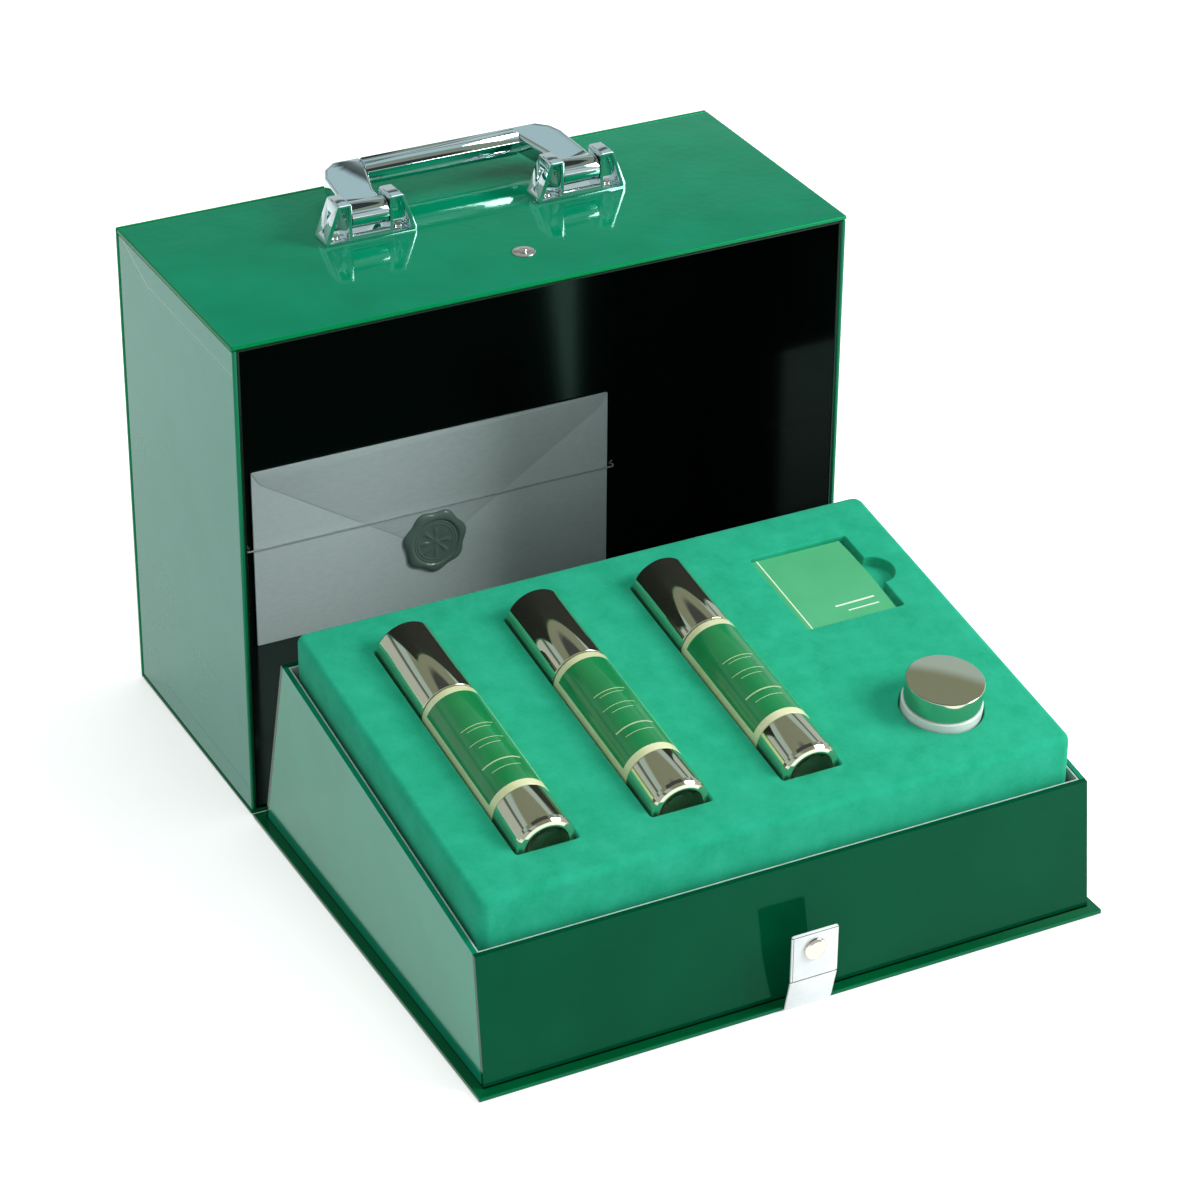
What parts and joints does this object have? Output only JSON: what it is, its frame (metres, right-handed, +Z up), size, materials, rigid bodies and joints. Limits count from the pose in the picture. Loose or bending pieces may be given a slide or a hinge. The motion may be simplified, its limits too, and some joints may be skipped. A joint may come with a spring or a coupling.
{
  "type": "carrying case with tray",
  "caption": "Upright carrying case with a folding handle and a fold-down front that carries a sloping foam tray of pump bottles, a jar and a booklet, with an envelope behind an elastic cord.",
  "frame": {"origin": "middle of the bottom board's underside, on the table", "axes": "+X to the right as seen from the open front, +Y to the back of the case, +Z up"},
  "size_m": [0.35, 0.442, 0.2972],
  "materials": {
    "cover_paper": "gloss",
    "side_paper": "gloss",
    "lining_paper": "gloss",
    "chrome": "polished",
    "steel": "polished",
    "elastic": "matte",
    "foam": "matte",
    "silver_paper": "satin",
    "bottle_metal": "polished",
    "bottle_body": "gloss",
    "pump_plastic": "satin",
    "jar_plastic": "gloss",
    "booklet_paper": "satin",
    "envelope_paper": "satin",
    "wax": "satin",
    "strap": "satin"
  },
  "bodies": {
    "case": {"cover_top_board": "cover_paper", "cover_back_board": "cover_paper", "cover_bottom_board": "cover_paper", "side_board_left": "side_paper", "side_board_right": "side_paper", "lining_top": "lining_paper", "lining_bottom": "lining_paper", "lining_back": "lining_paper", "lining_left": "lining_paper", "lining_right": "lining_paper", "handle_bracket_left": "chrome", "handle_bracket_right": "chrome", "handle_pin_left": "steel", "handle_pin_right": "steel", "handle_rivets": "steel", "handle_backing_plates": "steel", "snap_stud": "steel", "snap_stud_rivet": "steel", "elastic_cord": "elastic", "elastic_eyelets": "chrome", "door_hinge_strip": "cover_paper"},
    "handle": {"handle_arm_left": "chrome", "handle_arm_right": "chrome", "handle_grip": "chrome", "handle_core_rod": "steel"},
    "door": {"cover_door_board": "cover_paper", "tray_floor": "lining_paper", "tray_wall_front": "cover_paper", "tray_wall_rear": "cover_paper", "tray_wall_left": "cover_paper", "tray_wall_right": "cover_paper", "tray_lining": "silver_paper", "foam_base": "foam", "foam_insert": "foam", "strap_tail": "strap"},
    "strap_lower_flap": {"strap_lower": "strap"},
    "strap_upper_flap": {"strap_upper": "strap", "snap_cap": "steel", "snap_socket": "steel"},
    "bottle_1": {"bottle_1_cap": "bottle_metal", "bottle_1_pump": "pump_plastic", "bottle_1_body": "bottle_body", "bottle_1_base": "bottle_metal"},
    "pump_actuator_1": {"bottle_1_actuator": "pump_plastic"},
    "bottle_2": {"bottle_2_cap": "bottle_metal", "bottle_2_pump": "pump_plastic", "bottle_2_body": "bottle_body", "bottle_2_base": "bottle_metal"},
    "pump_actuator_2": {"bottle_2_actuator": "pump_plastic"},
    "bottle_3": {"bottle_3_cap": "bottle_metal", "bottle_3_pump": "pump_plastic", "bottle_3_body": "bottle_body", "bottle_3_base": "bottle_metal"},
    "pump_actuator_3": {"bottle_3_actuator": "pump_plastic"},
    "jar": {"jar_body": "jar_plastic", "jar_cup": "jar_plastic"},
    "jar_lid_part": {"jar_lid": "bottle_metal"},
    "booklet_part": {"booklet": "booklet_paper"},
    "letter": {"envelope": "envelope_paper", "wax_seal": "wax"}
  },
  "joints": [
    {"name": "door_hinge", "type": "hinge", "parent": "case", "child": "door", "pos_m": [0, -0.081, 0.0003], "axis": [1, 0, 0], "range_deg": [-90, 0], "deforming": ["door_hinge_strip"]},
    {"name": "handle_hinge", "type": "hinge", "parent": "case", "child": "handle", "pos_m": [0, 0.0125, 0.2865], "axis": [1, 0, 0], "range_deg": [0, 170]},
    {"name": "strap_fold", "type": "hinge", "parent": "door", "child": "strap_lower_flap", "pos_m": [0.0025, -0.3556, 0.0008], "axis": [1, 0, 0], "range_deg": [-6.8, 60]},
    {"name": "strap_crease", "type": "hinge", "parent": "strap_lower_flap", "child": "strap_upper_flap", "pos_m": [0.0025, -0.36044, 0.02021], "axis": [-1, 0, 0], "range_deg": [-45, 8]},
    {"name": "bottle_1_lift", "type": "slide", "parent": "door", "child": "bottle_1", "axis": [0, -0.1532, 0.9882], "range_m": [0, 0.06]},
    {"name": "bottle_2_lift", "type": "slide", "parent": "door", "child": "bottle_2", "axis": [0, -0.1532, 0.9882], "range_m": [0, 0.06]},
    {"name": "bottle_3_lift", "type": "slide", "parent": "door", "child": "bottle_3", "axis": [0, -0.1532, 0.9882], "range_m": [0, 0.06]},
    {"name": "pump_press_1", "type": "slide", "parent": "bottle_1", "child": "pump_actuator_1", "axis": [0, 0.9882, 0.1532], "range_m": [-0.004, 0], "stiffness_N_per_m": 400, "springref_m": 0.002},
    {"name": "pump_press_2", "type": "slide", "parent": "bottle_2", "child": "pump_actuator_2", "axis": [0, 0.9882, 0.1532], "range_m": [-0.004, 0], "stiffness_N_per_m": 400, "springref_m": 0.002},
    {"name": "pump_press_3", "type": "slide", "parent": "bottle_3", "child": "pump_actuator_3", "axis": [0, 0.9882, 0.1532], "range_m": [-0.004, 0], "stiffness_N_per_m": 400, "springref_m": 0.002},
    {"name": "jar_lift", "type": "slide", "parent": "door", "child": "jar", "axis": [0, -0.1532, 0.9882], "range_m": [0, 0.06]},
    {"name": "jar_lid_lift", "type": "slide", "parent": "jar", "child": "jar_lid_part", "axis": [0, -0.1532, 0.9882], "range_m": [0, 0.03]},
    {"name": "booklet_lift", "type": "slide", "parent": "door", "child": "booklet_part", "axis": [0, -0.1532, 0.9882], "range_m": [0, 0.05]},
    {"name": "envelope_lift", "type": "slide", "parent": "case", "child": "letter", "axis": [0, 0, 1], "range_m": [0, 0.12], "deforming": ["elastic_cord"]}
  ]
}
